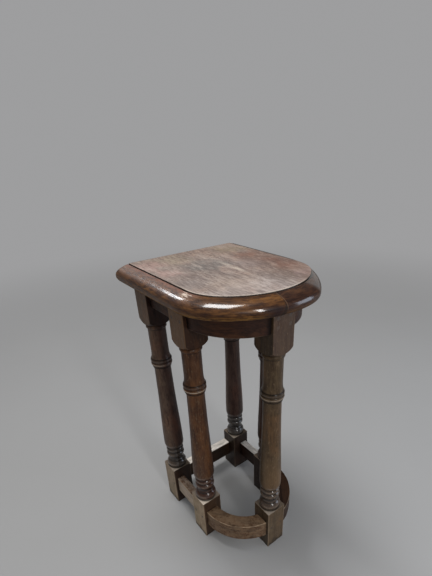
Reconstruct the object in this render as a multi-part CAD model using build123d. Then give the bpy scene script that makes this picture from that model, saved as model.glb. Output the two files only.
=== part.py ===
"""Joint stool: a tall oak stool with a D-shaped moulded seat on five turned legs.

Two edge-glued seat boards lie on five aprons. The aprons and the five stretchers near the floor
are tenoned into the square blocks of the legs and held by drawn pegs. The two legs at the back
carry straight rails, and two bowed rails sweep from the shoulder legs round to the front leg.
Lengths are millimetres, +Z is up, the straight back edge faces +Y and the bow faces -Y. The
origin is on the floor under the middle of the seat.
"""
from build123d import *
import math
import os

# ---- Overall sizes ----
stool_height = 600.0
seat_thickness = 28.0
leg_stock = 46.0              # side of the square the legs are turned from
leg_spacing_across = 184.0    # back legs and shoulder legs, left to right, centre to centre
leg_spacing_along = 127.0     # back leg to shoulder leg, centre to centre
arris = 1.2                   # rounding of the worn long edges

# ---- Rails: the aprons under the seat and the stretchers near the floor ----
rail_set_back = 7.0           # side rails inside the outer faces of the legs
back_rail_set_back = 2.0      # back rails inside the back faces of the legs
side_rail_thickness = 18.0
back_rail_thickness = 22.0
bowed_rail_thickness = 28.0
apron_height = 43.0
stretcher_height = 42.0
stretcher_clearance = 38.0    # floor to the underside of a stretcher
front_leg_proud = 3.0         # front leg's face beyond the bowed rails

# ---- Mortise and tenon joints with drawn pegs ----
tenon_thickness = 10.0
tenon_length = 20.0
tenon_shoulder = 4.0          # cut back from the rail's lower edge, and both edges of a stretcher
apron_haunch = 11.0           # cut back from the apron's top edge
tenon_fit = 0.15
mortise_end_gap = 1.0
peg_radius = 3.2
peg_length = 32.0
peg_fit = 0.05
apron_peg_spacing = 15.0

# ---- Seat: flat inside an incised quirk, then a thumb-moulded rim ----
rim_projection = 28.0         # from the quirk to the nose of the moulding
nose_drop = 17.0              # nose below the flat
quirk_width = 2.4
quirk_depth = 2.0
rim_step = 1.0                # top of the moulding below the flat
brow_reach = 13.0             # control point of the moulding's brow, out from the quirk
brow_drop = 3.0               # and below the flat
nose_fullness = 10.2          # control point above the nose
underside_return = 5.5        # nose to the lower arris of the moulding
back_overhang = 3.5
front_overhang = 3.5          # quirk beyond the front leg's face
bow_rise = 93.0               # depth of the bowed end of the quirk
bow_side_radius = 77.0
flat_start_turn = 74.5        # degrees round the bow, from its right end, to the flattened shoulder
flat_corner_radius = 45.0     # nose of the moulding where the flattened shoulder starts
flat_corner_turn = 21.5
flat_radius = 250.0           # nose of the moulding along the flattened shoulder
flat_turn = 21.5
board_joint_x = -25.0         # glued joint between the two seat boards

# ---- Turning, lower part: sizes measured up from the lower block ----
curve_pull = 1 / 3            # height of a turned curve's control point, as a share of the curve
lower_block_height = 108.0
torus_height = 19.0
torus_radius = 22.4
torus_root_radius = 17.6
fillet_height = 2.0
scotia_height = 12.0
scotia_radius = 15.6
lower_bead_height = 12.0
lower_bead_radius = 20.6
upper_bead_height = 10.0
upper_bead_radius = 20.0
bead_root_radius = 17.4
bead_gap = 2.0

# ---- Turning, the tapered column ----
column_foot_height = 15.0     # rounded-in lower end
column_foot_radius = 18.0
column_radius = 22.3
column_waist_radius = 19.2    # at half height
column_head_radius = 17.2

# ---- Turning, upper part: sizes measured down from the upper block ----
upper_block_height = 85.0     # seat underside to the groove under the shoulder
shoulder_height = 17.0        # corners rounded over by the lathe
shoulder_radius = 21.0
collar_height = 8.0
collar_radius = 20.4
collar_root_radius = 18.4
neck_height = 50.0
neck_radius = 17.8
flare_height = 17.0
ring_bead_height = 8.0
ring_bead_radius = 21.8
ring_root_radius = 20.2
ring_fillet_height = 4.0
ring_fillet_radius = 19.4

# ---- Glue blocks under the seat ----
glue_block_side = 15.0
glue_block_length = 42.0

# ---- Places worked out from the sizes ----
half_stock = leg_stock / 2
seat_underside = stool_height - seat_thickness
apron_bottom = seat_underside - apron_height
stretcher_top = stretcher_clearance + stretcher_height
leg_x = leg_spacing_across / 2
quirk_half_width = leg_x + half_stock
rail_radius = quirk_half_width - rail_set_back

# Along Y, sizes are first laid out from the centre of the bow, which lies level with the front
# faces of the shoulder legs. bow_centre_y then centres the whole seat on the origin.
back_edge_from_bow = half_stock + leg_spacing_along + half_stock + back_overhang
front_face_from_bow = -(rail_radius + front_leg_proud)
quirk_front_from_bow = front_face_from_bow - front_overhang
bow_centre_y = -(back_edge_from_bow + quirk_front_from_bow - rim_projection) / 2
seat_back_y = bow_centre_y + back_edge_from_bow
quirk_front_y = bow_centre_y + quirk_front_from_bow
shoulder_leg_y = bow_centre_y + half_stock
back_leg_y = shoulder_leg_y + leg_spacing_along
front_leg_y = bow_centre_y + front_face_from_bow + half_stock
back_rail_y = back_leg_y + half_stock - back_rail_set_back - back_rail_thickness / 2
side_rail_x = rail_radius - side_rail_thickness / 2
bowed_rail_mid_radius = rail_radius - bowed_rail_thickness / 2

# The bow of the quirk is three arcs, tangent to each other: a side, the crown and a side.
arch_y = quirk_front_y + bow_rise
side_centre_x = quirk_half_width - bow_side_radius
crown_radius = (side_centre_x**2 + bow_rise**2 - bow_side_radius**2) / (2 * (bow_rise - bow_side_radius))
crown_y = quirk_front_y + crown_radius
bow_turn = math.degrees(math.atan2(crown_y - arch_y, side_centre_x))

LEGS = {
    "leg_back_left": (-leg_x, back_leg_y),
    "leg_back_right": (leg_x, back_leg_y),
    "leg_shoulder_left": (-leg_x, shoulder_leg_y),
    "leg_shoulder_right": (leg_x, shoulder_leg_y),
    "leg_front": (0.0, front_leg_y),
}

EAST = Vector(1, 0, 0)
NORTH = Vector(0, 1, 0)
UP = Vector(0, 0, 1)
WEST = -EAST
SOUTH = -NORTH


# ---------------------------------------------------------------- joints
# Each rail end: the leg it enters, the way it heads, the sideways place of the tenon, and the way
# the pegs are driven. A joint's mortise, tenon and peg holes all come from these values.

def rail_ends():
    front_tenon_y = bow_centre_y - math.sqrt(bowed_rail_mid_radius**2 - half_stock**2)
    left = {
        "side_left": [
            ("leg_back_left", NORTH, -side_rail_x, EAST),
            ("leg_shoulder_left", SOUTH, -side_rail_x, EAST),
        ],
        "front_left": [
            ("leg_shoulder_left", NORTH, -bowed_rail_mid_radius, EAST),
            ("leg_front", EAST, front_tenon_y, NORTH),
        ],
    }
    right = {
        "side_right": [
            ("leg_back_right", NORTH, side_rail_x, WEST),
            ("leg_shoulder_right", SOUTH, side_rail_x, WEST),
        ],
        "front_right": [
            ("leg_shoulder_right", NORTH, bowed_rail_mid_radius, WEST),
            ("leg_front", WEST, front_tenon_y, NORTH),
        ],
    }
    back = {
        "back": [
            ("leg_back_left", WEST, back_rail_y, SOUTH),
            ("leg_back_right", EAST, back_rail_y, SOUTH),
        ],
    }
    return {**back, **left, **right}


RAIL_ENDS = rail_ends()
RAIL_LEVELS = {
    "apron": (apron_bottom + tenon_shoulder, seat_underside - apron_haunch),
    "stretcher": (stretcher_clearance + tenon_shoulder, stretcher_top - tenon_shoulder),
}
PEG_RISES = {
    "apron": (-apron_peg_spacing / 2, apron_peg_spacing / 2),
    "stretcher": (0.0,),
}


def shoulder_point(leg, way, sideways):
    """Where the tenon's centre line passes through the face of the leg."""
    centre_x, centre_y = LEGS[leg]
    if way.Y == 0:
        return Vector(centre_x, sideways, 0) - way * half_stock
    return Vector(sideways, centre_y, 0) - way * half_stock


def tenon(level, end, gap=0.0, end_gap=0.0):
    leg, way, sideways, _ = end
    bottom, top = RAIL_LEVELS[level]
    block = Box(
        tenon_length + end_gap,
        tenon_thickness + 2 * gap,
        top - bottom + 2 * gap,
        align=(Align.MIN, Align.CENTER, Align.MIN),
    )
    foot = shoulder_point(leg, way, sideways) + UP * (bottom - gap)
    return Plane(foot, x_dir=way, z_dir=UP) * block


def pegs(level, end, gap=0.0):
    """Pegs driven through the middle of the tenon from the outer face of the leg."""
    leg, way, sideways, driven = end
    centre = Vector(*LEGS[leg], 0)
    crossing = shoulder_point(leg, way, sideways) + way * (tenon_length / 2)
    entry = crossing - driven * ((crossing - centre).dot(driven) + half_stock)
    middle = sum(RAIL_LEVELS[level]) / 2
    peg = Cylinder(peg_radius + gap, peg_length + gap, align=(Align.CENTER, Align.CENTER, Align.MIN))
    return [Plane(entry + UP * (middle + rise), z_dir=driven) * peg for rise in PEG_RISES[level]]


# ---------------------------------------------------------------- legs

def bead(foot, height, root, crown):
    """Half-round swelling between two points of equal radius."""
    return ThreePointArc((root, foot), (crown, foot + height / 2), (root, foot + height))


def turned_shape():
    """Solid of revolution left by the lathe; blocks are wider than their square corners."""
    outer = half_stock * math.sqrt(2) + 1.0
    torus_top = lower_block_height + torus_height
    scotia_foot = torus_top + fillet_height
    scotia_top = scotia_foot + scotia_height
    lower_bead_top = scotia_top + lower_bead_height
    upper_bead_foot = lower_bead_top + bead_gap
    upper_bead_top = upper_bead_foot + upper_bead_height
    column_foot = upper_bead_top + bead_gap
    column_shoulder = column_foot + column_foot_height
    block_foot = seat_underside - upper_block_height
    collar_top = block_foot - fillet_height
    collar_foot = collar_top - collar_height
    neck_foot = collar_foot - neck_height
    ring_top = neck_foot - flare_height
    ring_middle = ring_top - ring_bead_height
    ring_foot = ring_middle - ring_bead_height
    column_head = ring_foot - ring_fillet_height
    column_middle = (column_shoulder + column_head) / 2

    with BuildSketch(Plane.XZ) as section:
        with BuildLine():
            Polyline((0, 0), (outer, 0), (outer, lower_block_height), (torus_root_radius, lower_block_height))
            bead(lower_block_height, torus_height, torus_root_radius, torus_radius)
            Line((torus_root_radius, torus_top), (torus_root_radius, scotia_foot))
            ThreePointArc(
                (torus_root_radius, scotia_foot),
                (scotia_radius, scotia_foot + scotia_height / 2),
                (bead_root_radius, scotia_top),
            )
            bead(scotia_top, lower_bead_height, bead_root_radius, lower_bead_radius)
            Line((bead_root_radius, lower_bead_top), (bead_root_radius, upper_bead_foot))
            bead(upper_bead_foot, upper_bead_height, bead_root_radius, upper_bead_radius)
            Polyline(
                (bead_root_radius, upper_bead_top),
                (bead_root_radius, column_foot),
                (column_foot_radius, column_foot),
            )
            Bezier(
                (column_foot_radius, column_foot),
                (column_radius, column_foot + column_foot_height * curve_pull),
                (column_radius, column_shoulder),
            )
            Spline(
                (column_radius, column_shoulder),
                (column_waist_radius, column_middle),
                (column_head_radius, column_head),
                tangents=((0, 1), (-0.01, 1)),
            )
            Polyline(
                (column_head_radius, column_head),
                (ring_fillet_radius, column_head),
                (ring_fillet_radius, ring_foot),
                (ring_root_radius, ring_foot),
            )
            bead(ring_foot, ring_bead_height, ring_root_radius, ring_bead_radius)
            bead(ring_middle, ring_bead_height, ring_root_radius, ring_bead_radius)
            Bezier(
                (ring_root_radius, ring_top),
                (neck_radius, ring_top + flare_height * curve_pull),
                (neck_radius, neck_foot),
            )
            Polyline((neck_radius, neck_foot), (neck_radius, collar_foot), (collar_root_radius, collar_foot))
            bead(collar_foot, collar_height, collar_root_radius, collar_radius)
            Polyline(
                (collar_root_radius, collar_top),
                (collar_root_radius, block_foot),
                (shoulder_radius, block_foot),
            )
            Bezier(
                (shoulder_radius, block_foot),
                (outer, block_foot + shoulder_height * curve_pull),
                (outer, block_foot + shoulder_height),
            )
            Polyline(
                (outer, block_foot + shoulder_height),
                (outer, seat_underside),
                (0, seat_underside),
                (0, 0),
            )
        make_face()
    return revolve(section.sketch, Axis.Z)


def leg_blank():
    square = extrude(RectangleRounded(leg_stock, leg_stock, arris), seat_underside)
    return square & turned_shape()


def make_legs():
    blank = leg_blank()
    legs = {}
    for name, (centre_x, centre_y) in LEGS.items():
        leg = Pos(centre_x, centre_y, 0) * blank
        for level in RAIL_LEVELS:
            for ends in RAIL_ENDS.values():
                for end in ends:
                    if end[0] == name:
                        leg -= tenon(level, end, tenon_fit, mortise_end_gap)
                        leg -= pegs(level, end, peg_fit)
        legs[name] = leg
    return legs


# ---------------------------------------------------------------- rails

def straight_rail(start, finish, thickness, height, foot):
    """Rail with softened edges between the faces of two legs."""
    run = finish - start
    section = Plane(start + UP * (foot + height / 2), x_dir=run.cross(UP), z_dir=run)
    return extrude(section * RectangleRounded(thickness, height, arris), run.length)


def bowed_rail(height, foot):
    """Left-hand rail sawn to the arc between the shoulder leg and the front leg."""
    section = Plane.XZ * Pos(-bowed_rail_mid_radius, foot + height / 2) * RectangleRounded(
        bowed_rail_thickness, height, arris
    )
    arc = revolve(section, Axis.Z, 90)
    beyond_leg = Box(rail_radius, rail_radius, stool_height, align=(Align.MIN, Align.MAX, Align.MIN))
    return Pos(0, bow_centre_y, 0) * (arc - Pos(-half_stock, 0, 0) * beyond_leg)


def make_rails(level, height, foot):
    back_start = Vector(half_stock - leg_x, back_rail_y, 0)
    back_finish = Vector(leg_x - half_stock, back_rail_y, 0)
    back_rail = straight_rail(back_start, back_finish, back_rail_thickness, height, foot)
    side_start = Vector(-side_rail_x, shoulder_leg_y + half_stock, 0)
    side_finish = Vector(-side_rail_x, back_leg_y - half_stock, 0)
    side_rail = straight_rail(side_start, side_finish, side_rail_thickness, height, foot)
    front_rail = bowed_rail(height, foot)
    bodies = {
        "back": back_rail,
        "side_left": side_rail,
        "side_right": mirror(side_rail, Plane.YZ),
        "front_left": front_rail,
        "front_right": mirror(front_rail, Plane.YZ),
    }
    rails = {}
    for place, body in bodies.items():
        rail = body
        for end in RAIL_ENDS[place]:
            rail += tenon(level, end)
        for end in RAIL_ENDS[place]:
            rail -= pegs(level, end, peg_fit)
        rails[f"{level}_{place}"] = rail
    return rails


# ---------------------------------------------------------------- seat

def quirk_outline():
    """Two straight sides joined by a three-centred arch, from the back left corner round."""
    with BuildLine() as outline:
        Line((-quirk_half_width, seat_back_y), (-quirk_half_width, arch_y))
        CenterArc((-side_centre_x, arch_y), bow_side_radius, 180, bow_turn)
        CenterArc((0, crown_y), crown_radius, 180 + bow_turn, 180 - 2 * bow_turn)
        CenterArc((side_centre_x, arch_y), bow_side_radius, 360 - bow_turn, bow_turn)
        Line((quirk_half_width, arch_y), (quirk_half_width, seat_back_y))
    return outline.wires()[0]


def nose_outline():
    """Even with the quirk on the left and in front; the right shoulder is sawn flatter, inside it."""
    half_width = quirk_half_width + rim_projection
    closing_turn = flat_start_turn - flat_corner_turn - flat_turn
    with BuildLine() as outline:
        Line((-half_width, seat_back_y), (-half_width, arch_y))
        CenterArc((-side_centre_x, arch_y), bow_side_radius + rim_projection, 180, bow_turn)
        crown_sweep = 180 - bow_turn - flat_start_turn
        crown = CenterArc((0, crown_y), crown_radius + rim_projection, 180 + bow_turn, crown_sweep)
        corner = JernArc(crown @ 1, crown % 1, flat_corner_radius, flat_corner_turn)
        flat = JernArc(corner @ 1, corner % 1, flat_radius, flat_turn)
        closing_radius = (half_width - (flat @ 1).X) / (1 - math.cos(math.radians(closing_turn)))
        closing = JernArc(flat @ 1, flat % 1, closing_radius, closing_turn)
        Line(closing @ 1, (half_width, seat_back_y))
    return outline.wires()[0]


def rim_section():
    """Section of the moulding, outward from the quirk, with the flat of the seat at height 0."""
    lower_arris = rim_projection - underside_return
    with BuildSketch() as section:
        with BuildLine():
            Polyline((0, -seat_thickness), (0, -rim_step), (quirk_width, -rim_step))
            Bezier(
                (quirk_width, -rim_step),
                (brow_reach, -brow_drop),
                (rim_projection, nose_fullness - nose_drop),
                (rim_projection, -nose_drop),
            )
            Bezier(
                (rim_projection, -nose_drop),
                (rim_projection, -(nose_drop + seat_thickness) / 2),
                (lower_arris, -seat_thickness),
            )
            Line((lower_arris, -seat_thickness), (0, -seat_thickness))
        make_face()
    return section.sketch


def quirk_section():
    """Section of the incised line: an upright wall, a flat bottom and a slope up to the rim."""
    return make_face(
        Polyline(
            (0, rim_step),
            (0, -quirk_depth),
            (quirk_width / 2, -quirk_depth),
            (quirk_width, -rim_step),
            (quirk_width, rim_step),
            (0, rim_step),
        )
    )


def swept_round(section, path, inset=0.0):
    """Sweep along a path on the top of the seat, with the section's origin this far inside it."""
    start = path @ 0 + EAST * inset
    return sweep(Plane(start, x_dir=WEST, z_dir=NORTH) * section, path)


def make_seat_boards():
    quirk_path = Pos(0, 0, stool_height) * quirk_outline()
    nose_path = Pos(0, 0, stool_height) * nose_outline()
    back_edge = Line(quirk_path @ 1, quirk_path @ 0)
    flat = make_face(quirk_path.edges() + back_edge.edges())
    seat = extrude(flat, -seat_thickness) + swept_round(rim_section(), nose_path, inset=rim_projection)
    seat -= swept_round(quirk_section(), quirk_path)
    joint = Plane.YZ.offset(board_joint_x)
    return {
        "seat_board_left": split(seat, joint, Keep.BOTTOM),
        "seat_board_right": split(seat, joint, Keep.TOP),
    }


# ---------------------------------------------------------------- pegs and glue blocks

def make_pegs(level):
    return [peg for ends in RAIL_ENDS.values() for end in ends for peg in pegs(level, end)]


def glue_block_section():
    side = glue_block_side
    return make_face(Polyline((0, 0), (side, 0), (0, -side), (0, 0)))


def make_glue_blocks():
    """Rubbed blocks in the corner between the seat and the inside of each apron."""
    back_face = back_rail_y - back_rail_thickness / 2
    side_face = side_rail_x - side_rail_thickness / 2
    side_middle_y = (shoulder_leg_y + back_leg_y) / 2
    seats = [
        ((0, back_face), SOUTH),
        ((-side_face, side_middle_y), EAST),
        ((side_face, side_middle_y), WEST),
    ]
    straight_block = extrude(Plane.XZ * glue_block_section(), glue_block_length / 2, both=True)
    blocks = [Plane((x, y, seat_underside), x_dir=way, z_dir=UP) * straight_block for (x, y), way in seats]

    inner_radius = rail_radius - bowed_rail_thickness
    sweep_angle = math.degrees(glue_block_length / inner_radius)
    inward = Pos(-inner_radius, 0) * glue_block_section()
    curved_block = Rot(0, 0, (90 - sweep_angle) / 2) * revolve(Plane.XZ * inward, Axis.Z, sweep_angle)
    left_block = Pos(0, bow_centre_y, seat_underside) * curved_block
    return blocks + [left_block, mirror(left_block, Plane.YZ)]


def main():
    os.makedirs("parts", exist_ok=True)
    nodes = make_seat_boards()
    nodes.update(make_legs())
    nodes.update(make_rails("apron", apron_height, apron_bottom))
    nodes.update(make_rails("stretcher", stretcher_height, stretcher_clearance))
    nodes["apron_pegs"] = Compound(children=make_pegs("apron"))
    nodes["stretcher_pegs"] = Compound(children=make_pegs("stretcher"))
    nodes["glue_blocks"] = Compound(children=make_glue_blocks())
    for name, shape in nodes.items():
        export_step(shape, f"parts/{name}.step")


main()
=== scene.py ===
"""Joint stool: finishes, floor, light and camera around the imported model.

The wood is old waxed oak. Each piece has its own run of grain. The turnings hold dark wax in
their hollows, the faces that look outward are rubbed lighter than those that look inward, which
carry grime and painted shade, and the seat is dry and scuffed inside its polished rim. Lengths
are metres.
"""
import math

import bmesh
import bpy
from mathutils import Matrix, Vector

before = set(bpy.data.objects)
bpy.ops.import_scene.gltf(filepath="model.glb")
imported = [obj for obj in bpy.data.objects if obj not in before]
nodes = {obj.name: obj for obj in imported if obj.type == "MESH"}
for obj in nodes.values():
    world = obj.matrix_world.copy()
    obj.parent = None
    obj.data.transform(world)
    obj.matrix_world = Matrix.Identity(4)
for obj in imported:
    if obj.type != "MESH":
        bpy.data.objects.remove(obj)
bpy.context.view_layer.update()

# Places that the finishes need, as in the part's source
LEG_HALF = 0.023
LOWER_BLOCK_TOP = 0.108
UPPER_BLOCK_FOOT = 0.487
STRETCHER_TOP = 0.080
SEAT_UNDERSIDE = 0.572
SEAT_TOP = 0.600
SEAT_BACK_Y = 0.1595
QUIRK_HALF_WIDTH = 0.115
ARCH_Y = -0.0385
SIDE_ARC = (0.038, 0.077)          # centre out from the middle, radius
CROWN_ARC = (-0.001375, 0.130125)  # centre along Y, radius
BOARD_JOINT_X = -0.025
STOOL_MIDDLE = (0.0, -0.010, 0.0)


def colour(red, green, blue):
    return (red, green, blue, 1.0)


OLD_DIRT = colour(0.010, 0.006, 0.004)
BLACK_WAX = colour(0.006, 0.004, 0.003)


# ---------------------------------------------------------------- laying out nodes

class Wiring:
    """Adds shader nodes to one tree. A value may be a number, a colour or another node's output."""

    def __init__(self, tree):
        self.tree = tree

    def put(self, kind, inputs=None, **settings):
        """Add a node, make its settings, then set or join its inputs by name or number."""
        node = self.tree.nodes.new("ShaderNode" + kind)
        for name, value in settings.items():
            setattr(node, name, value)
        for name, value in (inputs or {}).items():
            self.join(value, node.inputs[name])
        return node

    def join(self, value, socket):
        if isinstance(value, bpy.types.NodeSocket):
            self.tree.links.new(value, socket)
        else:
            socket.default_value = value

    def group(self, group, **inputs):
        """Use a shared effect. Input names are written with _ for a space."""
        named = {name.replace("_", " "): value for name, value in inputs.items()}
        return self.put("Group", named, node_tree=group).outputs

    def maths(self, operation, *values):
        return self.put("Math", dict(enumerate(values)), operation=operation).outputs[0]

    def plus(self, first, *others):
        for other in others:
            first = self.maths("ADD", first, other)
        return first

    def minus(self, first, second):
        return self.maths("SUBTRACT", first, second)

    def times(self, first, *others):
        for other in others:
            first = self.maths("MULTIPLY", first, other)
        return first

    def most(self, first, *others):
        for other in others:
            first = self.maths("MAXIMUM", first, other)
        return first

    def vector(self, operation, *values, output=0, **scale):
        inputs = {**dict(enumerate(values)), **scale}
        return self.put("VectorMath", inputs, operation=operation).outputs[output]

    def distance(self, place, point):
        return self.vector("DISTANCE", place, point, output=1)

    def split(self, vector):
        return self.put("SeparateXYZ", {0: vector}).outputs

    def fade(self, value, start, finish, low=0.0, high=1.0):
        """Smooth change from low to high while the value goes from start to finish."""
        inputs = {0: value, 1: start, 2: finish, 3: low, 4: high}
        return self.put("MapRange", inputs, interpolation_type="SMOOTHSTEP").outputs[0]

    def near(self, value, at, reach, strength=1.0):
        """Strength where the value is at this place, and none beyond its reach."""
        return self.fade(self.maths("ABSOLUTE", self.minus(value, at)), 0.0, reach, strength, 0.0)

    def near_any(self, value, places):
        """1 where the value is at any of these places, each given with its reach."""
        return self.most(*(self.near(value, at, reach) for at, reach in places))

    def noise(self, place, scale, share=(1, 1, 1), detail=3.0, rough=0.6, output=0):
        """Noise drawn out along the axes with a small share."""
        drawn = self.vector("MULTIPLY", place, share)
        inputs = {"Vector": drawn, "Scale": scale, "Detail": detail, "Roughness": rough}
        return self.put("TexNoise", inputs).outputs[output]

    def blend(self, factor, first, second, mode="MIX"):
        """Mix two colours."""
        inputs = {0: factor, 6: first, 7: second}
        return self.put("Mix", inputs, data_type="RGBA", blend_type=mode).outputs[2]

    def choose(self, factor, first, second):
        """Mix two numbers."""
        return self.put("Mix", {0: factor, 2: first, 3: second}).outputs[0]


def new_group(name, inputs, outputs):
    """A node group with named sockets. Returns the group, its wiring and what it is given."""
    group = bpy.data.node_groups.new(name, "ShaderNodeTree")
    for label, value in inputs.items():
        kind = "Float" if isinstance(value, float) else "Color" if len(value) == 4 else "Vector"
        socket = group.interface.new_socket(label, in_out="INPUT", socket_type="NodeSocket" + kind)
        socket.default_value = value
    for label, kind in outputs.items():
        group.interface.new_socket(label, in_out="OUTPUT", socket_type="NodeSocket" + kind)
    return group, Wiring(group), group.nodes.new("NodeGroupInput").outputs


def close_group(group, **results):
    output = group.nodes.new("NodeGroupOutput")
    for label, value in results.items():
        group.links.new(value, output.inputs[label])
    return group


# ---------------------------------------------------------------- shared effects

def make_oak():
    """Oak with its grain along Z: rings, fibres, streaks and open pores, warmer in clouds."""
    group, draw, given = new_group(
        "oak",
        {
            "Vector": (0, 0, 0), "Pith": (0, 0, 0), "Ring Width": 0.003, "Contrast": 1.0,
            "Dark": colour(0.03, 0.015, 0.01), "Light": colour(0.1, 0.06, 0.04),
            "Warm": colour(0.12, 0.05, 0.02),
        },
        {
            "Color": "Color", "Height": "Float", "Fibres": "Float", "Streaks": "Float",
            "Mottle": "Float", "Cloud": "Float", "Pores": "Float",
        },
    )
    # The grain sways a little along its length
    wander = draw.noise(given["Vector"], 17.0, share=(1, 1, 0.2), detail=2.0, rough=0.5, output=1)
    sway = draw.vector("SCALE", draw.vector("SUBTRACT", wander, (0.5, 0.5, 0.5)), Scale=0.014)
    place = draw.vector("ADD", given["Vector"], sway)

    across = draw.vector("MULTIPLY", draw.vector("SUBTRACT", place, given["Pith"]), (1, 1, 0))
    from_pith = draw.vector("LENGTH", across, output=1)
    ring = draw.maths("FRACT", draw.maths("DIVIDE", from_pith, given["Ring Width"]))
    rings = draw.times(draw.fade(ring, 0.0, 0.35), draw.fade(ring, 0.85, 1.0, 1.0, 0.0))
    fibres = draw.noise(place, 640.0, share=(1, 1, 0.04), detail=2.0)
    streaks = draw.noise(place, 170.0, share=(1, 1, 0.075))
    mottle = draw.noise(place, 85.0, share=(1, 1, 0.30), detail=4.0, rough=0.65)
    cloud = draw.noise(given["Vector"], 19.0, share=(1, 1, 0.45), detail=4.0, rough=0.55)
    pits = draw.noise(place, 1050.0, share=(1, 1, 0.07), detail=1.0, rough=0.5)
    pores = draw.times(draw.fade(pits, 0.60, 0.68), draw.fade(ring, 0.15, 0.6, 1.0, 0.25))

    body = draw.plus(
        draw.times(fibres, 0.22), draw.times(streaks, 0.40), draw.times(mottle, 0.38)
    )
    body = draw.times(draw.minus(body, 0.5), given["Contrast"])
    lit = draw.fade(draw.plus(body, draw.times(rings, 0.03), 0.49), 0.37, 0.63)
    wood = draw.blend(lit, given["Dark"], given["Light"])
    warm = draw.times(lit, draw.fade(cloud, 0.46, 0.62, 0.0, 0.85))
    wood = draw.blend(warm, wood, given["Warm"])
    wood = draw.blend(draw.times(pores, 0.7), wood, OLD_DIRT)
    raised = draw.plus(draw.times(fibres, 0.35), draw.times(rings, 0.2))
    height = draw.minus(raised, draw.times(pores, 0.55))
    return close_group(
        group, Color=wood, Height=height, Fibres=fibres, Streaks=streaks, Mottle=mottle,
        Cloud=cloud, Pores=pores,
    )


def make_scuffs():
    """Knocks and rubs: a broken mask, fuller where the given wear is high, and dents in it."""
    group, draw, given = new_group(
        "scuffs",
        {"Vector": (0, 0, 0), "Wear": 0.0, "Seed": 0.0},
        {"Rubbed": "Float", "Dents": "Float"},
    )
    moved = draw.put("CombineXYZ", {0: given["Seed"]}).outputs[0]
    place = draw.vector("ADD", given["Vector"], moved)
    coarse = draw.noise(place, 95.0, detail=5.0, rough=0.72)
    broken = draw.choose(0.3, coarse, draw.noise(place, 480.0))
    fuller = draw.times(draw.minus(given["Wear"], 0.5), 0.62)
    rubbed = draw.fade(draw.plus(broken, fuller), 0.42, 0.66)
    pocks = draw.put("TexVoronoi", {"Vector": place, "Scale": 130.0}, feature="SMOOTH_F1")
    dents = draw.times(draw.fade(pocks.outputs[0], 0.0, 0.34, 1.0, 0.0), given["Wear"])
    return close_group(group, Rubbed=rubbed, Dents=dents)


def make_facing():
    """How far a face looks away from the middle of the stool, and how far it looks up."""
    group, draw, given = new_group(
        "facing",
        {"Vector": (0, 0, 0), "Normal": (0, 0, 1)},
        {"Outward": "Float", "Upward": "Float"},
    )
    from_middle = draw.vector("SUBTRACT", given["Vector"], STOOL_MIDDLE)
    away = draw.vector("NORMALIZE", draw.vector("MULTIPLY", from_middle, (1, 1, 0)))
    outward = draw.vector("DOT_PRODUCT", away, given["Normal"], output=1)
    return close_group(group, Outward=outward, Upward=draw.split(given["Normal"])[2])


# Heights on the turning. Each dark hollow and rubbed crest also has its reach up and down
UPPER_RING_BEAD = 0.4062
# Pale line along the lower ring bead: rubbed wood with a painted highlight
RING_LINE_RUBBED_AND_LIT = 0.3980          # along the crest of the lower ring bead
HOLLOWS = (
    (0.1280, 0.0026), (0.1350, 0.0060), (0.1415, 0.0024), (0.1540, 0.0026), (0.1660, 0.0026),
    (0.3910, 0.0034), (0.4022, 0.0015), (0.4100, 0.0024), (0.4770, 0.0018), (0.4860, 0.0018),
)
CRESTS = (
    (0.1185, 0.0040), (0.1480, 0.0026), (0.1610, 0.0024), (0.1760, 0.0030),
    (0.3982, 0.0018), (UPPER_RING_BEAD, 0.0012),
)


def make_leg_places():
    """Where a leg is worn, dirty or polished, from coordinates with the leg's axis as Z."""
    group, draw, given = new_group(
        "leg places",
        {"Vector": (0, 0, 0)},
        {"Arris": "Float", "Hollow": "Float", "Crest": "Float", "Foot": "Float", "Block": "Float"},
    )
    out_x, out_y, height = draw.split(given["Vector"])
    foot = draw.fade(height, LOWER_BLOCK_TOP, LOWER_BLOCK_TOP + 0.0006, 1.0, 0.0)
    block = draw.most(foot, draw.fade(height, UPPER_BLOCK_FOOT - 0.0006, UPPER_BLOCK_FOOT))

    # Both distances from the axis are near the half width only along the block's corners
    side = draw.maths("MINIMUM", draw.maths("ABSOLUTE", out_x), draw.maths("ABSOLUTE", out_y))
    corner = draw.times(draw.fade(side, LEG_HALF - 0.0042, LEG_HALF - 0.0010), block)
    arris = draw.most(corner, draw.near(height, LOWER_BLOCK_TOP - 0.0004, 0.0024))

    # Dirt gathers in the hollows and where the turning stands on the lower block
    from_axis = draw.vector("MULTIPLY", given["Vector"], (1, 1, 0))
    from_axis = draw.vector("LENGTH", from_axis, output=1)
    hollow = draw.near_any(height, HOLLOWS)
    root = draw.times(
        draw.near(height, LOWER_BLOCK_TOP + 0.0006, 0.0022), draw.fade(from_axis, 0.0235, 0.0205)
    )
    return close_group(
        group, Arris=arris, Hollow=draw.most(hollow, root), Crest=draw.near_any(height, CRESTS),
        Foot=foot, Block=block,
    )


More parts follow.
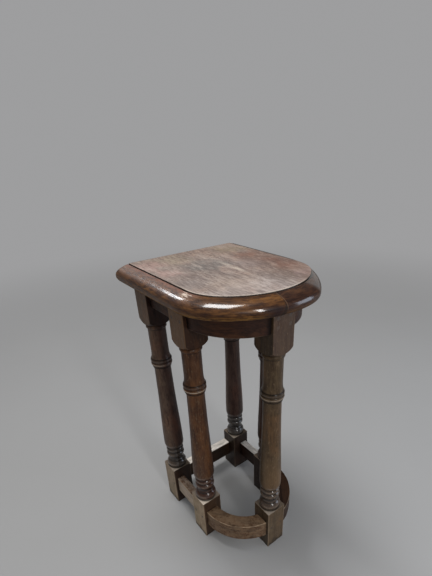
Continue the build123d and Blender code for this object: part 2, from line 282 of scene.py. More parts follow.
def make_seat_places():
    """How far a point of the seat lies inside the quirk, and how far round the moulding it is."""
    group, draw, given = new_group(
        "seat places", {"Vector": (0, 0, 0)}, {"Inset": "Float", "Round": "Float"}
    )
    x, y, _ = draw.split(given["Vector"])
    out = draw.maths("ABSOLUTE", x)
    folded = draw.put("CombineXYZ", {0: out, 1: y}).outputs[0]
    centre, radius = SIDE_ARC
    side = draw.minus(radius, draw.distance(folded, (centre, ARCH_Y, 0)))
    crown_y, crown_radius = CROWN_ARC
    from_crown = draw.vector("SUBTRACT", folded, (0, crown_y, 0))
    crown = draw.minus(crown_radius, draw.vector("LENGTH", from_crown, output=1))

    # The side arc runs into the crown on the line through both centres; this is square to it
    turn = math.atan2(crown_y - ARCH_Y, centre)
    square_to_line = (-math.sin(turn), -math.cos(turn), 0)
    beyond = draw.vector("DOT_PRODUCT", from_crown, square_to_line, output=1)
    arch = draw.choose(draw.maths("GREATER_THAN", beyond, 0.0), side, crown)
    straight = draw.minus(QUIRK_HALF_WIDTH, out)
    inset = draw.choose(draw.maths("GREATER_THAN", y, ARCH_Y), arch, straight)

    # Metres round the rim, from an angle about a point near the middle of the seat
    angle = draw.maths("ARCTAN2", x, draw.minus(0.02, y))
    return close_group(group, Inset=inset, Round=draw.times(angle, 0.13))


OAK = make_oak()
SCUFFS = make_scuffs()
FACING = make_facing()
LEG_PLACES = make_leg_places()
SEAT_PLACES = make_seat_places()


# ---------------------------------------------------------------- parts of every finish

def new_finish(name):
    """A new material. Returns it, its wiring, its shader and object coordinates."""
    finish = bpy.data.materials.new(name)
    finish.use_nodes = True
    draw = Wiring(finish.node_tree)
    shader = finish.node_tree.nodes["Principled BSDF"]
    return finish, draw, shader, draw.put("TexCoord").outputs["Object"]


def lay_grain(draw, place, turn, log, squeeze=1.5):
    """Coordinates turned so that the grain is Z, and moved into another log."""
    inputs = {"Vector": place, "Rotation": turn, "Location": log}
    return draw.vector("MULTIPLY", draw.put("Mapping", inputs).outputs[0], (1, 1, squeeze))


def saw_oak(draw, grain, woods, pith, ring_width, contrast=1.0):
    """Wood in three colours: dark, light and warm."""
    dark, light, warm = woods
    return draw.group(
        OAK, Vector=grain, Pith=pith, Ring_Width=ring_width, Contrast=contrast,
        Dark=dark, Light=light, Warm=warm,
    )


def face_of(draw, place):
    normal = draw.put("NewGeometry").outputs["Normal"]
    return draw.group(FACING, Vector=place, Normal=normal)


def dress(draw, shader, surface, rough, relief, strength, depth, specular=0.15):
    """Colour, roughness and bump of a finish."""
    bump = draw.put("Bump", {"Strength": strength, "Distance": depth, "Height": relief})
    draw.join(surface, shader.inputs["Base Color"])
    draw.join(rough, shader.inputs["Roughness"])
    draw.join(bump.outputs[0], shader.inputs["Normal"])
    shader.inputs["Specular IOR Level"].default_value = specular


def polish_over(draw, shader, weight, rough, ior=1.5):
    """A coat of polished wax."""
    draw.join(weight, shader.inputs["Coat Weight"])
    shader.inputs["Coat Roughness"].default_value = rough
    shader.inputs["Coat IOR"].default_value = ior


def give(node, finish):
    """Put the finish in every material slot of the node's object."""
    for slot in nodes[node].material_slots:
        slot.link = "OBJECT"
        slot.material = finish


# ---------------------------------------------------------------- seat

DRY_OAK = (colour(0.215, 0.165, 0.145), colour(0.350, 0.282, 0.245), colour(0.350, 0.250, 0.205))
AMBER_WAX = (colour(0.032, 0.011, 0.004), colour(0.102, 0.040, 0.011), colour(0.190, 0.081, 0.020))
RED_WAX = (colour(0.022, 0.008, 0.005), colour(0.054, 0.021, 0.010), colour(0.092, 0.038, 0.014))
ALONG_SEAT = (math.radians(90), math.radians(1.2), 0)
CHIP = (-0.1205, -0.050, 0.599)
CRACK_HEIGHT = 0.5828

# Soft patches on the flat: x, y, reach, strength and tint
PATCHES = (
    (-0.045, 0.123, 0.055, 0.75, colour(0.335, 0.282, 0.215)),
    (0.082, 0.112, 0.060, 0.80, colour(0.275, 0.220, 0.160)),
    (0.110, 0.010, 0.080, 0.80, colour(0.220, 0.160, 0.135)),
    (-0.100, 0.110, 0.045, 0.80, colour(0.375, 0.255, 0.230)),
    (-0.096, 0.045, 0.045, 0.80, colour(0.385, 0.262, 0.230)),
    (-0.022, 0.048, 0.058, 0.95, colour(0.175, 0.162, 0.150)),
    (-0.088, -0.018, 0.045, 0.70, colour(0.285, 0.250, 0.236)),
    (-0.048, -0.066, 0.060, 0.80, colour(0.410, 0.325, 0.272)),
    (0.045, -0.080, 0.055, 0.85, colour(0.205, 0.156, 0.130)),
    (0.050, 0.005, 0.040, 0.50, colour(0.300, 0.255, 0.245)),
    (0.070, -0.090, 0.030, 0.60, colour(0.360, 0.290, 0.285)),
    (0.078, 0.066, 0.040, 0.65, colour(0.290, 0.170, 0.130)),
    (0.098, 0.004, 0.036, 0.70, colour(0.250, 0.140, 0.108)),
    (0.084, -0.046, 0.036, 0.70, colour(0.240, 0.138, 0.106)),
)


def dry_flat(draw, place, oak):
    """Colour of the dry, rubbed flat of the seat."""
    flat = oak["Color"]
    ragged = draw.noise(place, 42.0, share=(1, 0.5, 1), detail=5.0, rough=0.62)
    ragged = draw.times(draw.minus(ragged, 0.5), 0.12)
    for x, y, reach, strength, tint in PATCHES:
        spread = draw.plus(draw.distance(place, (x, y, SEAT_TOP)), ragged)
        flat = draw.blend(draw.fade(spread, reach, reach * 0.1, 0.0, strength), flat, tint)

    clouds = draw.noise(place, 46.0, share=(1, 0.35, 1), detail=5.0, rough=0.62)
    flat = draw.blend(draw.fade(clouds, 0.53, 0.38, 0.0, 0.5), flat, colour(0.190, 0.150, 0.134))
    flat = draw.blend(draw.fade(clouds, 0.51, 0.66, 0.0, 0.45), flat, colour(0.445, 0.370, 0.325))
    streaks = draw.noise(place, 430.0, share=(1, 0.11, 1), detail=4.0, rough=0.7)
    flat = draw.blend(draw.fade(streaks, 0.51, 0.35, 0.0, 0.6), flat, colour(0.120, 0.090, 0.080))
    flat = draw.blend(draw.fade(streaks, 0.52, 0.68, 0.0, 0.52), flat, colour(0.500, 0.425, 0.375))

    # Redder at the right, paler at the front, browner at the back
    x, y, _ = draw.split(place)
    right = draw.times(draw.fade(x, 0.015, 0.085), draw.fade(y, 0.10, 0.05))
    flat = draw.blend(right, flat, colour(0.79, 0.70, 0.66), "MULTIPLY")
    front = draw.times(draw.fade(y, -0.045, -0.095), draw.fade(x, 0.06, 0.0))
    flat = draw.blend(front, flat, colour(1.13, 1.18, 1.24), "MULTIPLY")
    flat = draw.blend(draw.fade(y, 0.06, 0.14), flat, colour(0.92, 0.89, 0.86), "MULTIPLY")

    # One long bright streak near the middle
    inputs = {"Vector": place, "Location": (-0.008, -0.008, -SEAT_TOP), "Rotation": (0, 0, 0.06)}
    from_streak = draw.vector("MULTIPLY", draw.put("Mapping", inputs).outputs[0], (9.0, 1.0, 1.0))
    reach = draw.vector("LENGTH", from_streak, output=1)
    bright = draw.times(draw.fade(reach, 0.062, 0.012), draw.fade(oak["Fibres"], 0.38, 0.54))
    return draw.blend(draw.times(bright, 0.75), flat, colour(0.560, 0.480, 0.400))


def waxed_moulding(draw, axes, round_rim, run, mottle, pores, wax):
    """Colour of the polished moulding: dark wax, with lighter wax showing in runs round it."""
    x, y, height = axes
    dark, light, glow = wax
    body = draw.choose(0.42, mottle, run)
    moulding = draw.blend(draw.fade(body, 0.39, 0.60), dark, light)
    glowing = draw.fade(draw.noise(round_rim, 70.0, share=(1, 1, 0.35)), 0.46, 0.62, 0.0, 0.85)
    moulding = draw.blend(draw.times(glowing, draw.fade(body, 0.40, 0.62)), moulding, glow)
    moulding = draw.blend(draw.times(pores, 0.6), moulding, colour(0.008, 0.004, 0.003))

    # Golden along its lower edge, most of all on the left board
    low_edge = draw.times(
        draw.fade(height, 0.5815, 0.5745), draw.fade(run, 0.43, 0.56, 0.10, 0.90),
        draw.fade(x, -0.045, 0.0, 1.0, 0.25),
    )
    moulding = draw.blend(low_edge, moulding, colour(0.225, 0.112, 0.030))

    # Older, darker wax low down beside the joint between the boards
    by_joint = draw.times(
        draw.near(x, BOARD_JOINT_X - 0.015, 0.040), draw.fade(height, 0.593, 0.585, 0.0, 0.95),
        draw.fade(y, -0.08, -0.12),
    )
    return draw.blend(by_joint, moulding, colour(0.016, 0.006, 0.007))


def worn_left_side(draw, place, axes, run, mottle, moulding):
    """The left of the moulding is dulled on top, and has a chip with a painted glint by the quirk
    and a crack.

    Returns the colour, and where it is dulled, where the chip and its glint are, and where it is
    cracked.
    """
    x, y, height = axes
    left = draw.times(draw.fade(x, -0.104, -0.118), draw.fade(y, -0.085, -0.045))
    dulled = draw.times(
        left, draw.fade(height, 0.5880, 0.5950), draw.fade(run, 0.34, 0.58, 0.45, 0.95)
    )
    dull = draw.blend(
        draw.fade(mottle, 0.38, 0.60), colour(0.085, 0.050, 0.042), colour(0.180, 0.094, 0.060)
    )
    moulding = draw.blend(dulled, moulding, dull)
    by_quirk = draw.times(
        left, draw.fade(height, 0.5970, 0.5985), draw.fade(mottle, 0.36, 0.58, 0.3, 0.9)
    )
    moulding = draw.blend(by_quirk, moulding, colour(0.205, 0.090, 0.060))

    # The chip: pale bare wood with a painted glint
    from_chip = draw.plus(draw.distance(place, CHIP), draw.times(draw.minus(mottle, 0.5), 0.022))
    chip_with_glint = draw.times(draw.fade(from_chip, 0.0165, 0.0070), draw.fade(run, 0.49, 0.55))
    moulding = draw.blend(draw.times(chip_with_glint, 0.9), moulding, colour(0.72, 0.60, 0.50))

    # The crack rises a little towards the back
    level = draw.plus(height, draw.times(y, -0.05), draw.times(draw.minus(run, 0.5), 0.006))
    cracked = draw.times(
        draw.near(level, CRACK_HEIGHT, 0.0009), draw.fade(y, 0.006, 0.020),
        draw.fade(y, 0.108, 0.090), draw.fade(x, -0.110, -0.120),
    )
    moulding = draw.blend(draw.times(cracked, 0.9), moulding, BLACK_WAX)
    return moulding, dulled, chip_with_glint, cracked


def board_joint(draw, x, height, on_moulding, wood):
    """The joint between the boards: a fine line on the flat, filled where it crosses the rim."""
    from_joint = draw.minus(x, BOARD_JOINT_X)
    wood = draw.blend(draw.near(from_joint, 0.0, 0.0007, 0.25), wood, colour(0.03, 0.018, 0.012))
    width = draw.fade(height, 0.596, 0.575, 0.0008, 0.0070)
    filled = draw.times(
        draw.maths("GREATER_THAN", draw.plus(from_joint, width), 0.0),
        draw.fade(from_joint, 0.0004, -0.0002), on_moulding,
    )
    wood = draw.blend(draw.times(filled, 0.7), wood, colour(0.012, 0.006, 0.004))
    open_joint = draw.times(
        draw.near(from_joint, 0.0006, 0.0011), on_moulding,
        draw.fade(height, 0.578, 0.590, 0.1, 0.6),
    )
    return draw.blend(open_joint, wood, colour(0.185, 0.105, 0.060))


def seat_finish(name, log, pith, wax):
    """Seat board: dry flat, polished moulding, sawn back edge and bare underside."""
    finish, draw, shader, place = new_finish(name)
    grain = lay_grain(draw, place, ALONG_SEAT, log, squeeze=1.6)
    oak = saw_oak(draw, grain, DRY_OAK, pith, ring_width=0.0042, contrast=1.1)
    places = draw.group(SEAT_PLACES, Vector=place)
    inset = places["Inset"]
    axes = x, y, height = draw.split(place)

    # Runs and mottling that follow the rim round
    round_rim = draw.put("CombineXYZ", {0: inset, 1: height, 2: places["Round"]}).outputs[0]
    run = draw.noise(round_rim, 450.0, share=(1, 1, 0.20), detail=4.0, rough=0.66)
    mottle = draw.noise(round_rim, 170.0, share=(1, 1, 0.36), detail=4.0, rough=0.65)
    moulding = waxed_moulding(draw, axes, round_rim, run, mottle, oak["Pores"], wax)
    moulding, dulled, chip_with_glint, cracked = worn_left_side(draw, place, axes, run, mottle, moulding)

    on_flat = draw.fade(height, 0.5984, 0.5988)
    inside = draw.times(draw.fade(inset, -0.0006, 0.0004), on_flat)
    wood = draw.blend(inside, moulding, dry_flat(draw, place, oak))
    sawn = draw.blend(oak["Streaks"], colour(0.030, 0.015, 0.009), colour(0.130, 0.075, 0.043))
    wood = draw.blend(draw.fade(y, SEAT_BACK_Y - 0.0010, SEAT_BACK_Y - 0.0003), wood, sawn)
    bare = draw.blend(oak["Streaks"], colour(0.055, 0.034, 0.021), colour(0.16, 0.11, 0.07))
    beneath = draw.fade(height, SEAT_UNDERSIDE + 0.0004, SEAT_UNDERSIDE + 0.0001)
    wood = draw.blend(beneath, wood, bare)

    # The incised line, and the worn lip inside it
    in_quirk = draw.times(
        draw.fade(inset, -0.0034, -0.0018), draw.fade(inset, 0.0004, -0.0002),
        draw.fade(height, 0.590, 0.596),
    )
    wood = draw.blend(in_quirk, wood, OLD_DIRT)
    worn = draw.group(SCUFFS, Vector=place, Wear=0.72, Seed=5.0)
    lip = draw.times(
        draw.fade(inset, 0.0002, 0.0010), draw.fade(inset, 0.0042, 0.0012), on_flat,
        worn["Rubbed"], draw.fade(y, 0.02, -0.06, 0.12, 0.95), draw.fade(x, 0.0, 0.065, 1.0, 0.05),
    )
    wood = draw.blend(lip, wood, colour(0.56, 0.48, 0.41))
    on_moulding = draw.minus(1.0, inside)
    wood = board_joint(draw, x, height, on_moulding, wood)

    # Dull where it is dry, worn or low, and polished on the sound moulding
    dry = draw.fade(oak["Fibres"], 0.35, 0.65, 0.48, 0.64)
    waxed = draw.plus(
        draw.fade(run, 0.35, 0.65, 0.30, 0.46), draw.times(dulled, 0.12),
        draw.times(chip_with_glint, 0.3), draw.fade(height, 0.579, 0.574, 0.0, 0.35),
    )
    polish = draw.times(
        on_moulding, draw.minus(1.0, draw.times(chip_with_glint, 0.8)), draw.fade(height, 0.5795, 0.5870),
        draw.minus(1.0, draw.times(dulled, draw.fade(run, 0.38, 0.56, 0.15, 0.65))),
    )
    relief = draw.plus(
        oak["Height"], draw.times(mottle, 0.15), draw.times(worn["Dents"], -0.15),
        draw.times(cracked, -2.5),
    )
    rough = draw.choose(inside, waxed, dry)
    dress(draw, shader, wood, rough, relief, strength=0.20, depth=0.0010)
    polish_over(draw, shader, polish, rough=0.12, ior=1.6)
    return finish


give("seat_board_left", seat_finish(
    "seat oak, left board", log=(1.3, 0.4, 2.0), pith=(1.24, 0.30, 0), wax=AMBER_WAX
))
give("seat_board_right", seat_finish(
    "seat oak, right board", log=(3.1, 0.9, 5.0), pith=(3.19, 0.80, 0), wax=RED_WAX
))


# ---------------------------------------------------------------- legs

RED_BROWN = (colour(0.040, 0.016, 0.008), colour(0.094, 0.041, 0.018), colour(0.120, 0.049, 0.018))
OLIVE_BROWN = (
    colour(0.042, 0.025, 0.013), colour(0.094, 0.062, 0.033), colour(0.118, 0.060, 0.026)
)
PURPLE_BROWN = (
    colour(0.048, 0.026, 0.019), colour(0.118, 0.076, 0.052), colour(0.140, 0.066, 0.038)
)
DULL_TAIL = colour(0.058, 0.034, 0.025)
RUBBED_TAIL = colour(0.205, 0.122, 0.062)
FRONT_LEFT = (-0.707, -0.707, 0)

# Where each leg stands, its log and wood, how scuffed its foot is and how pale its ledge, and the
# tints of its upper block, its turned base and, with a strength, the lower end of its column
LEGS = {
    "leg_back_left": dict(
        axis=(-0.092, 0.133), log=(2.0, 7.0, 1.0), woods=PURPLE_BROWN, scuff=0.82, ledge=0.35,
        head=colour(0.170, 0.105, 0.060), base=colour(0.038, 0.031, 0.025), tail=(0.2, DULL_TAIL),
    ),
    "leg_back_right": dict(
        axis=(0.092, 0.133), log=(5.0, 3.0, 2.0), woods=PURPLE_BROWN, scuff=0.8, ledge=0.25,
        head=colour(0.140, 0.085, 0.055), base=colour(0.044, 0.042, 0.040), tail=(0.2, DULL_TAIL),
    ),
    "leg_shoulder_left": dict(
        axis=(-0.092, 0.006), log=(8.0, 1.0, 3.0), woods=RED_BROWN, scuff=1.0, ledge=1.0,
        head=colour(0.215, 0.125, 0.062), base=colour(0.042, 0.013, 0.008), tail=(0.5, DULL_TAIL),
    ),
    "leg_shoulder_right": dict(
        axis=(0.092, 0.006), log=(1.0, 6.0, 4.0), woods=RED_BROWN, scuff=0.8, ledge=0.35,
        head=colour(0.150, 0.090, 0.055), base=colour(0.040, 0.020, 0.012), tail=(0.5, DULL_TAIL),
    ),
    "leg_front": dict(
        axis=(0.0, -0.105), log=(6.0, 2.0, 5.0), woods=OLIVE_BROWN, scuff=0.33, ledge=0.35,
        head=colour(0.070, 0.038, 0.034), base=colour(0.050, 0.034, 0.026),
        tail=(0.35, RUBBED_TAIL),
    ),
}


def rub_turning(draw, height, places, outward, rubbed_and_lit_side, oak, surface):
    """Rubbed crests, dark hollows, and the double ring: a dark bead over a rubbed one with a
    painted highlight.
    """
    crest = draw.times(
        places["Crest"], draw.fade(oak["Streaks"], 0.36, 0.58),
        draw.fade(outward, -0.6, 0.6, 0.10, 0.45),
    )
    surface = draw.blend(crest, surface, colour(0.215, 0.150, 0.098))
    surface = draw.blend(draw.times(places["Hollow"], 0.9), surface, BLACK_WAX)
    on_bead = draw.near(height, UPPER_RING_BEAD, 0.0042, 0.6)
    surface = draw.blend(on_bead, surface, colour(0.026, 0.015, 0.010))
    # A pale line on the lower bead: rubbed wood and a painted highlight
    rubbed_lit_line = draw.times(
        draw.near(height, RING_LINE_RUBBED_AND_LIT, 0.0011),
        draw.fade(oak["Cloud"], 0.35, 0.6, 0.45, 1.0), rubbed_and_lit_side,
    )
    return draw.blend(rubbed_lit_line, surface, colour(0.460, 0.370, 0.270))


def leg_finish(name, axis, log, woods, scuff, ledge, head, base, tail):
    """Turned leg: grime and painted shade on inner faces, a scuffed foot, rubbed crests and dark
    hollows.
    """
    finish, draw, shader, place = new_finish(name)
    _, _, height = draw.split(place)
    on_axis = draw.vector("SUBTRACT", place, (*axis, 0))
    grain = lay_grain(draw, on_axis, (0, 0, 0), log)
    oak = saw_oak(draw, grain, woods, pith=(0.03, -0.06, 0), ring_width=0.0031)
    places = draw.group(LEG_PLACES, Vector=on_axis)
    above_foot = draw.minus(1.0, places["Foot"])
    face = face_of(draw, place)
    outward = face["Outward"]

    # Faces that look inward get old grime and painted shade, those of the square blocks most of all
    rubbed_and_lit_side = draw.choose(
        places["Block"], draw.fade(outward, -0.90, 0.15), draw.fade(outward, -0.36, 0.80)
    )
    grime_and_shade = draw.blend(places["Block"], colour(0.48, 0.42, 0.47), colour(0.20, 0.165, 0.175))
    surface = draw.blend(draw.minus(1.0, rubbed_and_lit_side), oak["Color"], grime_and_shade, "MULTIPLY")

    # The outer faces of the foot are scuffed down to paler wood
    wear = draw.times(places["Foot"], draw.fade(outward, -0.15, 0.75, 0.07, scuff))
    knocks = draw.group(SCUFFS, Vector=place, Wear=wear, Seed=log[0])
    scuffed = draw.times(draw.choose(0.7, 1.0, knocks["Rubbed"]), wear)
    worn = draw.blend(
        draw.fade(oak["Mottle"], 0.36, 0.62),
        colour(0.285, 0.212, 0.140), colour(0.380, 0.290, 0.200),
    )
    grey = draw.fade(oak["Cloud"], 0.48, 0.62, 0.0, 0.5)
    worn = draw.blend(grey, worn, colour(0.185, 0.165, 0.095))
    surface = draw.blend(scuffed, surface, worn)

    # Tints of the upper block, the lower end of the column and the turned base
    on_head = draw.times(
        draw.minus(places["Block"], places["Foot"]), draw.fade(outward, 0.1, 0.9, 0.0, 0.4)
    )
    surface = draw.blend(on_head, surface, head)
    tail_strength, tail_tint = tail
    on_tail = draw.times(
        draw.fade(height, 0.300, 0.200), above_foot,
        draw.fade(outward, 0.0, 0.8, 0.0, tail_strength),
    )
    surface = draw.blend(on_tail, surface, tail_tint)
    on_base = draw.times(draw.fade(height, 0.182, 0.160), above_foot)
    uneven = draw.times(on_base, draw.fade(oak["Cloud"], 0.35, 0.6, 0.6, 0.85))
    surface = draw.blend(uneven, surface, base)

    # Darker close to the floor, and pale flecks on the rubbed faces
    ragged = draw.times(draw.minus(oak["Mottle"], 0.5), 0.030)
    by_floor = draw.fade(draw.plus(height, ragged), 0.016, 0.002, 0.0, 0.75)
    surface = draw.blend(by_floor, surface, colour(0.030, 0.022, 0.016))
    flecks = draw.noise(place, 430.0, share=(1, 1, 0.3), detail=2.0)
    flecks = draw.times(draw.fade(flecks, 0.58, 0.68, 0.0, 0.5), rubbed_and_lit_side)
    surface = draw.blend(flecks, surface, colour(0.17, 0.115, 0.070))

    # Worn arrises, and a pale ledge round the turning, most of all at the front left corner: dust
    # with painted light on it
    edge = draw.group(SCUFFS, Vector=place, Wear=draw.times(places["Arris"], 0.8), Seed=log[1])
    bare_edge = draw.times(
        edge["Rubbed"], places["Arris"], draw.fade(outward, -0.6, 0.5, 0.12, 0.5),
        draw.fade(places["Foot"], 0.0, 1.0, 0.12, 1.0),
    )
    surface = draw.blend(bare_edge, surface, colour(0.27, 0.20, 0.135))
    towards_corner = draw.vector("DOT_PRODUCT", on_axis, FRONT_LEFT, output=1)
    dusty_lit_ledge = draw.times(
        draw.fade(face["Upward"], 0.75, 0.95), places["Block"],
        draw.fade(towards_corner, 0.013, 0.024, 0.25, 1.0),
        draw.fade(oak["Cloud"], 0.35, 0.6, 0.8, 1.0), ledge,
    )
    surface = draw.blend(dusty_lit_ledge, surface, colour(0.92, 0.80, 0.67))

    surface = rub_turning(draw, height, places, outward, rubbed_and_lit_side, oak, surface)
    rough = draw.plus(draw.fade(oak["Fibres"], 0.35, 0.65, 0.34, 0.50), draw.times(scuffed, 0.2))
    relief = draw.plus(
        oak["Height"], draw.times(knocks["Dents"], -0.8), draw.times(bare_edge, -0.5)
    )
    dress(draw, shader, surface, rough, relief, strength=0.4, depth=0.0009)
    polish = draw.most(0.05, draw.times(places["Crest"], 0.8), draw.times(on_base, 0.45))
    polish_over(draw, shader, polish, rough=0.07, ior=1.8)
    return finish


for leg, details in LEGS.items():
    give(leg, leg_finish("oak, " + leg.replace("_", " "), **details))


# ---------------------------------------------------------------- aprons and stretchers

ALONG_X = (0, math.radians(-90), 0)
ALONG_Y = (math.radians(90), 0, 0)
ALONG_LEFT_BOW = (math.radians(-90), math.radians(-40), 0)
ALONG_RIGHT_BOW = (math.radians(-90), math.radians(40), 0)
SIDE_ENDS = (("y", 0.029), ("y", 0.110))

DARK_BROWN = (colour(0.020, 0.009, 0.006), colour(0.050, 0.027, 0.016), colour(0.062, 0.027, 0.014))
# Apron wood, darkened with painted shade where the seat overhangs it
APRON_BROWN_AND_SHADE = (
    colour(0.016, 0.006, 0.004), colour(0.040, 0.016, 0.010), colour(0.062, 0.024, 0.010)
)
# Near white: wear on the back and right side stretcher tops, with a painted sheen
PALE_WEAR_AND_SHEEN = colour(0.86, 0.79, 0.71)
ASH_WEAR_AND_SHEEN = colour(0.86, 0.80, 0.73)
GREY_WEAR = colour(0.430, 0.345, 0.268)
TAN_WEAR = colour(0.260, 0.178, 0.110)

# Direction of the grain and places of the ends, then the stretcher's wood and its wear: top,
# outer face and colour of the worn wood, which on the palest tops also carries a painted sheen
RAILS = {
    "back": (ALONG_X, (("x", -0.069), ("x", 0.069)), OLIVE_BROWN, (1.22, 0.3, PALE_WEAR_AND_SHEEN)),
    "side_left": (ALONG_Y, SIDE_ENDS, RED_BROWN, (0.60, 1.15, GREY_WEAR)),
    "side_right": (ALONG_Y, SIDE_ENDS, RED_BROWN, (1.15, 0.4, ASH_WEAR_AND_SHEEN)),
    "front_left": (
        ALONG_LEFT_BOW, (("y", -0.017), ("x", -0.023)), RED_BROWN, (0.68, 0.62, TAN_WEAR)
    ),
    "front_right": (
        ALONG_RIGHT_BOW, (("y", -0.017), ("x", 0.023)), DARK_BROWN, (0.12, 0.20, TAN_WEAR)
    ),
}
APRON_WEAR = (0.1, 0.05, TAN_WEAR)


def rail_finish(name, turn, log, woods, ends, top_wear, side_wear, worn_light):
    """Rail worn on its top and outer face where feet rest, with painted shade inside and by its
    dark joints.
    """
    finish, draw, shader, place = new_finish(name)
    grain = lay_grain(draw, place, turn, log)
    oak = saw_oak(draw, grain, woods, pith=(0.02, -0.05, 0), ring_width=0.0030)
    spans = dict(zip("xyz", draw.split(place)))
    face = face_of(draw, place)
    upward = draw.fade(face["Upward"], 0.35, 0.85)
    not_upward = draw.minus(1.0, upward)
    outer = draw.fade(face["Outward"], -0.3, 0.6)
    # Faces that look inward get grime and painted shade
    inner = draw.times(draw.minus(1.0, outer), not_upward)
    surface = draw.blend(inner, oak["Color"], colour(0.34, 0.30, 0.33), "MULTIPLY")

    wear = draw.most(draw.times(upward, top_wear), draw.times(outer, side_wear, not_upward))
    knocks = draw.group(SCUFFS, Vector=place, Wear=wear, Seed=log[0])
    worn_dark = colour(*(value * 0.6 for value in worn_light[:3]))
    body = draw.choose(0.5, oak["Mottle"], oak["Streaks"])
    worn = draw.blend(draw.fade(body, 0.38, 0.58), worn_dark, worn_light)
    rubbed = draw.times(knocks["Rubbed"], draw.maths("MINIMUM", wear, 1.0))
    surface = draw.blend(rubbed, surface, worn)

    # The rounded arrises and the upper brink of a stretcher show bare wood, with a painted
    # highlight along them
    slope = draw.maths("ABSOLUTE", face["Upward"])
    arris = draw.times(
        draw.fade(slope, 0.10, 0.35), draw.fade(slope, 0.97, 0.75),
        draw.fade(face["Outward"], -0.3, 0.3, 0.3, 1.0),
    )
    brink = draw.times(draw.near(spans["z"], STRETCHER_TOP, 0.0036), outer, not_upward)
    bareness = min(1.0, 3 * side_wear)
    broken = draw.fade(oak["Mottle"], 0.38, 0.54, 0.25 * bareness, 0.9 * bareness)
    bare_edge = draw.times(draw.most(arris, brink), broken)
    surface = draw.blend(bare_edge, surface, colour(0.42, 0.31, 0.20))

    # The gap at each shoulder is dark, with painted shade beside it that is wider between the
    # aprons and the legs
    gap = draw.fade(spans["z"], 0.30, 0.40, 0.0026, 0.0110)
    for axis, at in ends:
        gap_and_shade = draw.near(spans[axis], at, gap, 0.97)
        surface = draw.blend(gap_and_shade, surface, colour(0.004, 0.002, 0.002))

    rough = draw.fade(oak["Fibres"], 0.35, 0.65, 0.40, 0.58)
    relief = draw.plus(oak["Height"], draw.times(knocks["Dents"], -0.8))
    dress(draw, shader, surface, rough, relief, strength=0.35, depth=0.0011)
    polish_over(draw, shader, 0.05, rough=0.2)
    return finish


for number, (spot, (turn, ends, woods, wear)) in enumerate(RAILS.items()):
    words = spot.replace("_", " ")
    give("apron_" + spot, rail_finish(
        "apron oak, " + words, turn, (number + 0.5, 2.0, number), APRON_BROWN_AND_SHADE, ends, *APRON_WEAR
    ))
    give("stretcher_" + spot, rail_finish(
        "stretcher oak, " + words, turn, (number + 9.5, 4.0, number), woods, ends, *wear
    ))


# ---------------------------------------------------------------- pegs and glue blocks

AGED_PINE = (colour(0.24, 0.15, 0.08), colour(0.42, 0.30, 0.18), colour(0.34, 0.2, 0.1))


def peg_finish():
    """End grain of riven oak pegs, driven level with the legs."""
    finish, draw, shader, place = new_finish("peg end grain")
    rings = draw.noise(place, 520.0)
    wood = draw.blend(
        draw.fade(rings, 0.35, 0.65), colour(0.022, 0.012, 0.007), colour(0.085, 0.05, 0.03)
    )
    rough = draw.fade(rings, 0.3, 0.7, 0.4, 0.6)
    dress(draw, shader, wood, rough, rings, strength=0.3, depth=0.0008, specular=0.5)
    return finish


def glue_block_finish():
    """Bare pine, browned with age."""
    finish, draw, shader, place = new_finish("aged pine")
    grain = lay_grain(draw, place, (0, 0, math.radians(45)), (4.0, 1.0, 2.0), squeeze=1.0)
    pine = saw_oak(draw, grain, AGED_PINE, pith=(0.03, 0.02, 0), ring_width=0.0024)
    rough = draw.fade(pine["Fibres"], 0.3, 0.7, 0.6, 0.8)
    relief = pine["Height"]
    dress(draw, shader, pine["Color"], rough, relief, strength=0.4, depth=0.001, specular=0.5)
    return finish


PEG_END = peg_finish()
give("apron_pegs", PEG_END)
give("stretcher_pegs", PEG_END)
give("glue_blocks", glue_block_finish())


# ---------------------------------------------------------------- floor, light and camera

BACKDROP = colour(0.34, 0.34, 0.345)
LAMP_TARGET = Vector((0.0, 0.0, 0.58))
LAMP_DISTANCE = 2.0

# Pale walls that the wax reflects: azimuth, elevation, cosine of the spread, and glow
WALLS = ((6, 30, 0.95, 0.35), (63, 4, 0.90, 0.3), (-163, 18, 0.93, 0.6))

CAMERA_PLACE = (-0.37664, -0.49734, 0.77966)
CAMERA_AZIMUTH = 37.5724
CAMERA_ELEVATION = -31.4840
CAMERA_ROLL = -1.7326
CAMERA_LENS = 23.1856
CAMERA_SHIFT = (-0.03874, 0.14447)


def direction(azimuth, elevation):
    """Unit vector. Azimuth is from +Y towards +X."""
    east, up = math.radians(azimuth), math.radians(elevation)
    return Vector((math.sin(east) * math.cos(up), math.cos(east) * math.cos(up), math.sin(up)))


def make_floor():
    """Pale floor that runs into the plain backdrop."""
    mesh = bpy.data.meshes.new("floor")
    shape = bmesh.new()
    bmesh.ops.create_grid(shape, x_segments=1, y_segments=1, size=30)
    shape.to_mesh(mesh)
    shape.free()
    floor = bpy.data.objects.new("floor", mesh)
    bpy.context.scene.collection.objects.link(floor)
    finish, draw, shader, place = new_finish("pale studio floor")
    tone = draw.blend(
        draw.noise(place, 1.5), colour(0.36, 0.36, 0.36), colour(0.39, 0.39, 0.39)
    )
    draw.join(tone, shader.inputs["Base Color"])
    shader.inputs["Roughness"].default_value = 0.9
    shader.inputs["Specular IOR Level"].default_value = 0.2
    distance = draw.vector("LENGTH", place, output=1)
    far = draw.times(
        draw.fade(distance, 0.7, 3.0), draw.put("LightPath").outputs["Is Camera Ray"]
    )
    plain = draw.put("Emission", {"Color": BACKDROP}).outputs[0]
    seamless = draw.put("MixShader", {0: far, 1: shader.outputs[0], 2: plain}).outputs[0]
    draw.join(seamless, finish.node_tree.nodes["Material Output"].inputs["Surface"])
    mesh.materials.append(finish)


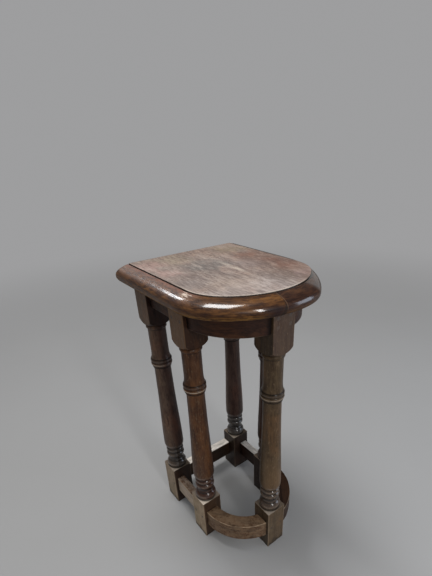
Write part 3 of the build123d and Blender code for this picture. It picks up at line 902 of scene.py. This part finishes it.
def make_world():
    """Soft light, fuller from the left and dimmer in the wax, with a plain backdrop to see."""
    world = bpy.data.worlds.new("studio")
    bpy.context.scene.world = world
    world.use_nodes = True
    draw = Wiring(world.node_tree)
    background = world.node_tree.nodes["Background"]
    looking = draw.put("TexCoord").outputs["Generated"]
    towards_left = draw.vector("DOT_PRODUCT", looking, direction(-105, 25), output=1)
    strength = draw.fade(towards_left, -0.9, 1.0, 0.15, 0.40)
    mirrored = draw.put("LightPath").outputs["Is Glossy Ray"]
    strength = draw.times(strength, draw.fade(mirrored, 0.0, 1.0, 1.0, 0.4))
    for azimuth, elevation, spread, glow in WALLS:
        towards = draw.vector("DOT_PRODUCT", looking, direction(azimuth, elevation), output=1)
        strength = draw.plus(strength, draw.fade(towards, spread, 1.0, 0.0, glow))
    draw.join(colour(1.0, 0.985, 0.97), background.inputs["Color"])
    draw.join(strength, background.inputs["Strength"])
    backdrop = draw.put("Background", {"Color": BACKDROP, "Strength": 1.0})
    seen = draw.put("LightPath").outputs["Is Camera Ray"]
    both = draw.put("MixShader", {0: seen, 1: background.outputs[0], 2: backdrop.outputs[0]})
    draw.join(both.outputs[0], world.node_tree.nodes["World Output"].inputs["Surface"])


def make_lamp(name, brightness, size, azimuth, elevation, tint=(1.0, 1.0, 1.0)):
    """Soft rectangular lamp aimed at the stool. Its power follows from its brightness and size."""
    light = bpy.data.lights.new(name, "AREA")
    light.shape = "RECTANGLE"
    light.size, light.size_y = size
    light.energy = 4 * brightness * size[0] * size[1]
    light.color = tint
    towards = direction(azimuth, elevation)
    lamp = bpy.data.objects.new(name, light)
    lamp.location = LAMP_TARGET + towards * LAMP_DISTANCE
    lamp.rotation_euler = towards.to_track_quat("Z", "Y").to_euler()
    bpy.context.scene.collection.objects.link(lamp)


def make_camera():
    """Three-quarter view from the front left, above the seat."""
    ahead = direction(CAMERA_AZIMUTH, CAMERA_ELEVATION)
    level = ahead.cross(Vector((0, 0, 1))).normalized()
    above = level.cross(ahead)
    roll = math.radians(CAMERA_ROLL)
    across = level * math.cos(roll) + above * math.sin(roll)
    upright = above * math.cos(roll) - level * math.sin(roll)
    turned = Matrix((across, upright, -ahead)).transposed().to_4x4()
    camera = bpy.data.objects.new("camera", bpy.data.cameras.new("camera"))
    camera.matrix_world = Matrix.Translation(CAMERA_PLACE) @ turned
    camera.data.sensor_width = 36.0
    camera.data.lens = CAMERA_LENS
    camera.data.shift_x, camera.data.shift_y = CAMERA_SHIFT
    bpy.context.scene.collection.objects.link(camera)
    bpy.context.scene.camera = camera


make_floor()
make_world()
make_lamp("overhead softbox", 10.0, (0.85, 0.85), -25, 79)
make_lamp("small window behind", 11.0, (0.26, 0.40), -3, 38, tint=(0.93, 0.96, 1.0))
make_lamp("tall front window", 12.0, (0.20, 1.30), -172, 22)
make_lamp("blue window, right", 2.4, (0.85, 1.30), 132, 4, tint=(0.74, 0.84, 1.0))
make_camera()
bpy.context.scene.view_settings.view_transform = "Standard"
